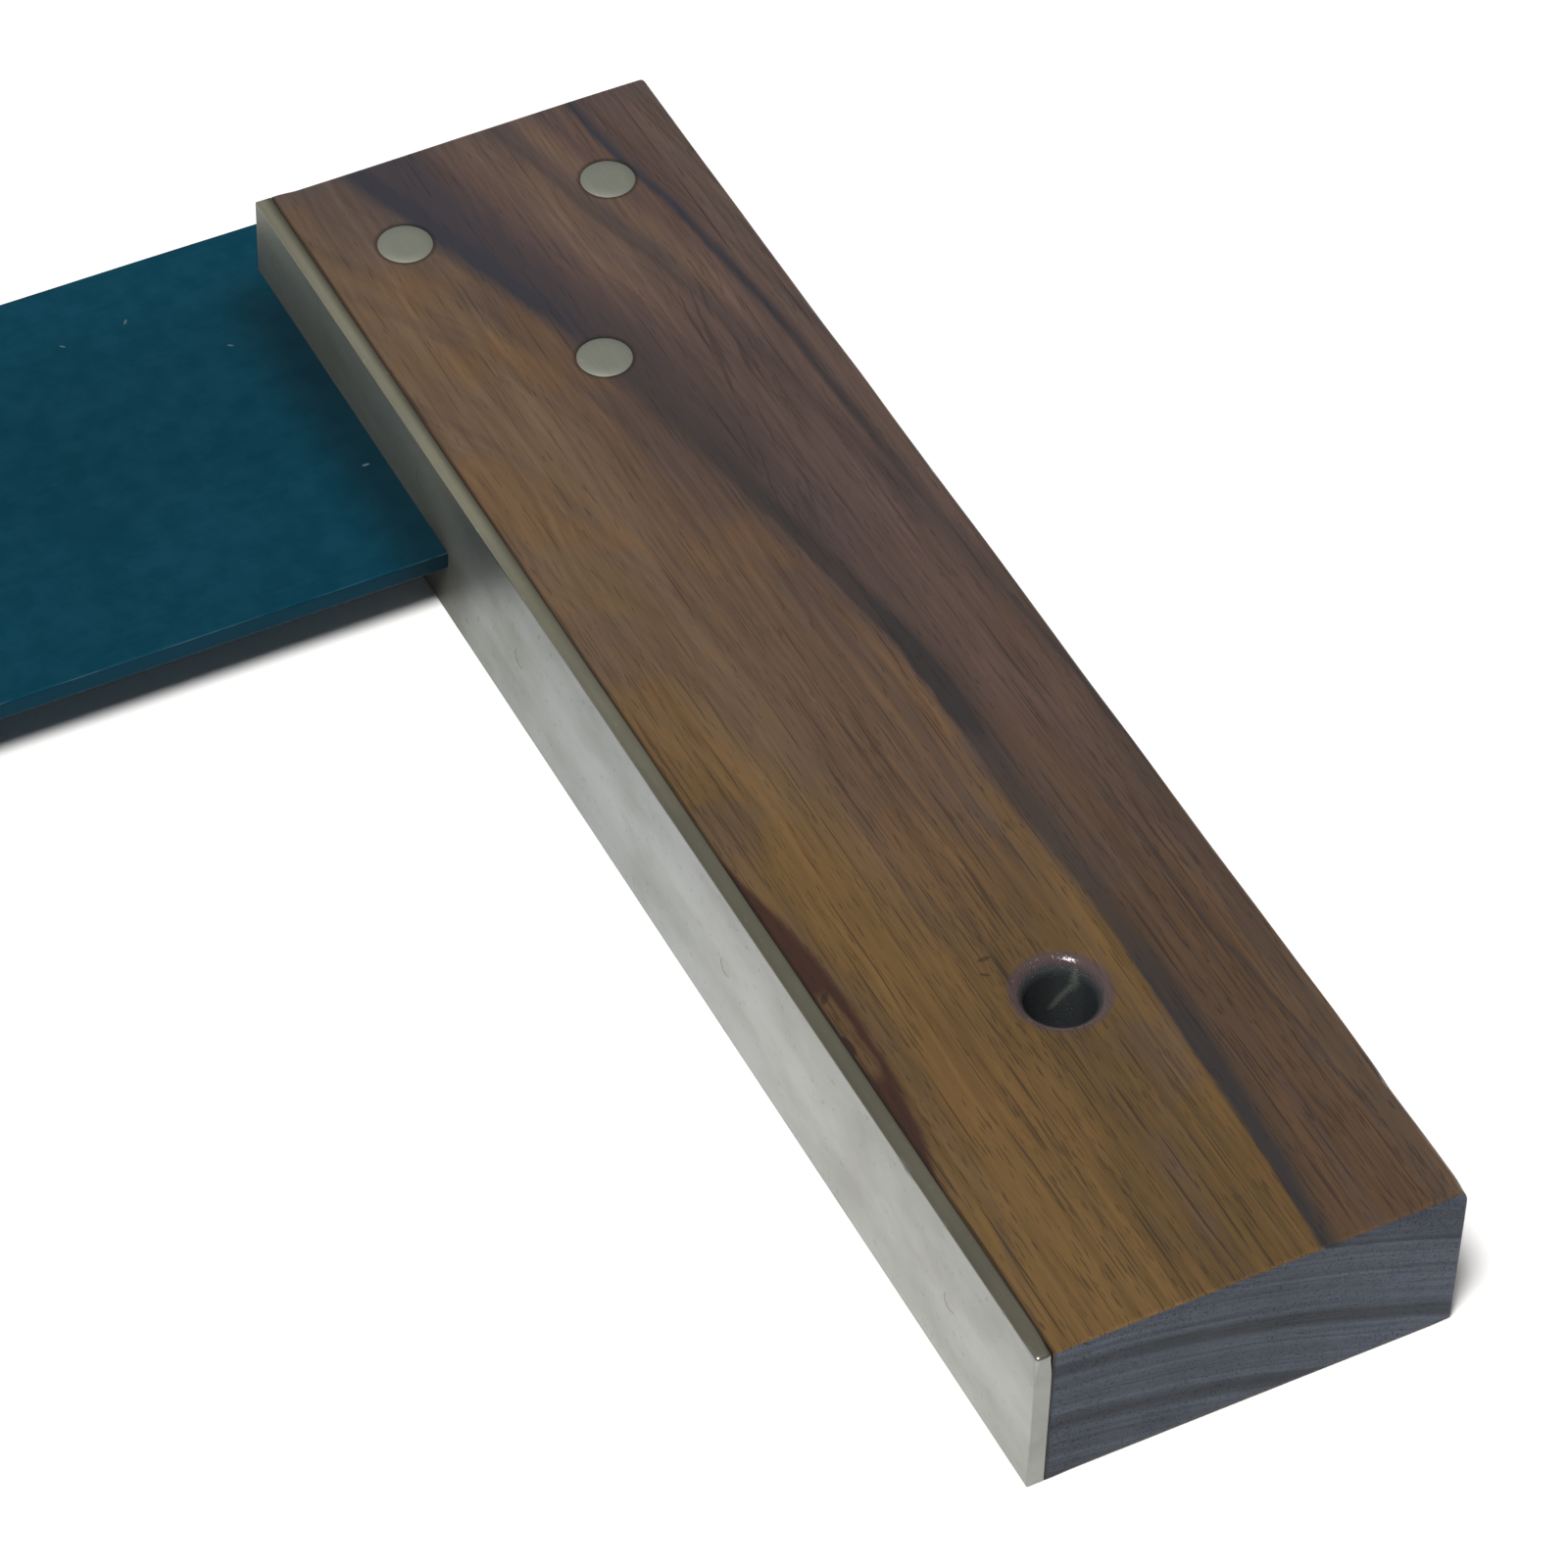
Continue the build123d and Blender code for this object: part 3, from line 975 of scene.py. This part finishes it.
def build_square():
    """Every piece of the square, each in the place of its CAD node."""
    plate_brass = brass("brass_face", *PLATE_BRASS, FILED_EDGE)
    rivet_brass = brass("rivet_brass", *RIVET_BRASS)
    pin_brass = brass("pin_brass", *PIN_BRASS)
    place(make_stock(), "stock", "rosewood", rosewood())
    place(make_plate(), "face_plate", "brass_face", plate_brass)
    place(make_blade(), "blade", "blued_steel", blued_steel())
    for name in RIVETS:
        made = name.replace("blade_", "") + "_brass"
        piece = turned(made, rivet_profile(), rivet_place(name), UPRIGHT, RIVET_SIDES, UNEVEN)
        place(piece, name, "rivet_brass", rivet_brass)
    for name in PINS:
        place(pin_turned(name), name, "pin_brass", pin_brass)


# ---- The table, the light and the camera ----


def make_floor():
    """A plain pale table top."""
    mesh = bmesh.new()
    bmesh.ops.create_grid(mesh, x_segments=1, y_segments=1, size=3000)
    floor = piece_from(mesh, "floor")
    floor.location.z = -HAIRLINE * MM
    paper = Surface("floor_white", Base_Color=(0.90, 0.90, 0.90, 1))
    paper.set("Roughness", paper.noise((30, 30, 30), 2.0, 0.5) * 0.1 + 0.75)
    floor.data.materials.append(paper.material)


def area_light(name, position, aim, size, power, colour):
    """A large soft lamp that points at a place."""
    data = bpy.data.lights.new(name, "AREA")
    data.shape = "DISK"
    data.size = size
    data.energy = power
    data.color = colour
    lamp = bpy.data.objects.new(name, data)
    lamp.location = position
    lamp.rotation_euler = (Vector(aim) - Vector(position)).to_track_quat("-Z", "Y").to_euler()
    bpy.context.scene.collection.objects.link(lamp)


def make_light():
    """A dim surround with a pale horizon and a soft glow overhead, and one large lamp high up."""
    world = bpy.data.worlds.new("surround")
    world.use_nodes = True
    tree = world.node_tree
    background = tree.nodes["Background"]
    background.inputs["Color"].default_value = (0.93, 0.97, 1.0, 1)
    direction = tree.nodes.new("ShaderNodeTexCoord")
    separate = tree.nodes.new("ShaderNodeSeparateXYZ")
    tree.links.new(direction.outputs["Generated"], separate.inputs[0])
    y, z = Field(tree, separate.outputs["Y"]), Field(tree, separate.outputs["Z"])
    toward_glow = y * 0.6 + z * 0.8
    horizon = z.size().step(0.18, 0.08)
    strength = toward_glow.step(0.45, 0.85) * 0.28 + horizon * 0.7 + 0.07
    feed(background.inputs["Strength"], strength)
    bpy.context.scene.world = world
    target = Vector((0.05, 0, 0))
    toward_lamp, away = Vector((-0.25, -0.28, 0.93)).normalized(), 1.6
    size, power, colour = 0.45, 32.5, (1.0, 0.985, 0.96)
    area_light("key", target + toward_lamp * away, target, size, power, colour)


def make_camera():
    """The camera, aimed at a point on the stock's upper face."""
    target = Vector((FACE_X + 11.27, FAR_Y - 93.66, TOP_Z)) * MM
    azimuth, elevation, roll = [math.radians(angle) for angle in (-28.348, 46.733, 1.864)]
    away, focal_length, sensor_width = 0.63555, 159.51, 36
    flat = math.cos(elevation)
    back = Vector((math.sin(azimuth) * flat, -math.cos(azimuth) * flat, math.sin(elevation)))
    level_right = Vector(UPRIGHT).cross(back).normalized()
    level_up = back.cross(level_right)
    right = level_right * math.cos(roll) + level_up * math.sin(roll)
    turn = Matrix((right, back.cross(right), back)).transposed()
    data = bpy.data.cameras.new("camera")
    data.lens = focal_length
    data.sensor_width = sensor_width
    data.clip_start = 0.01
    camera = bpy.data.objects.new("camera", data)
    camera.matrix_world = Matrix.Translation(target + back * away) @ turn.to_4x4()
    bpy.context.scene.collection.objects.link(camera)
    bpy.context.scene.camera = camera
    bpy.context.scene.view_settings.view_transform = "Standard"


make_camera()
make_floor()
make_light()
build_square()
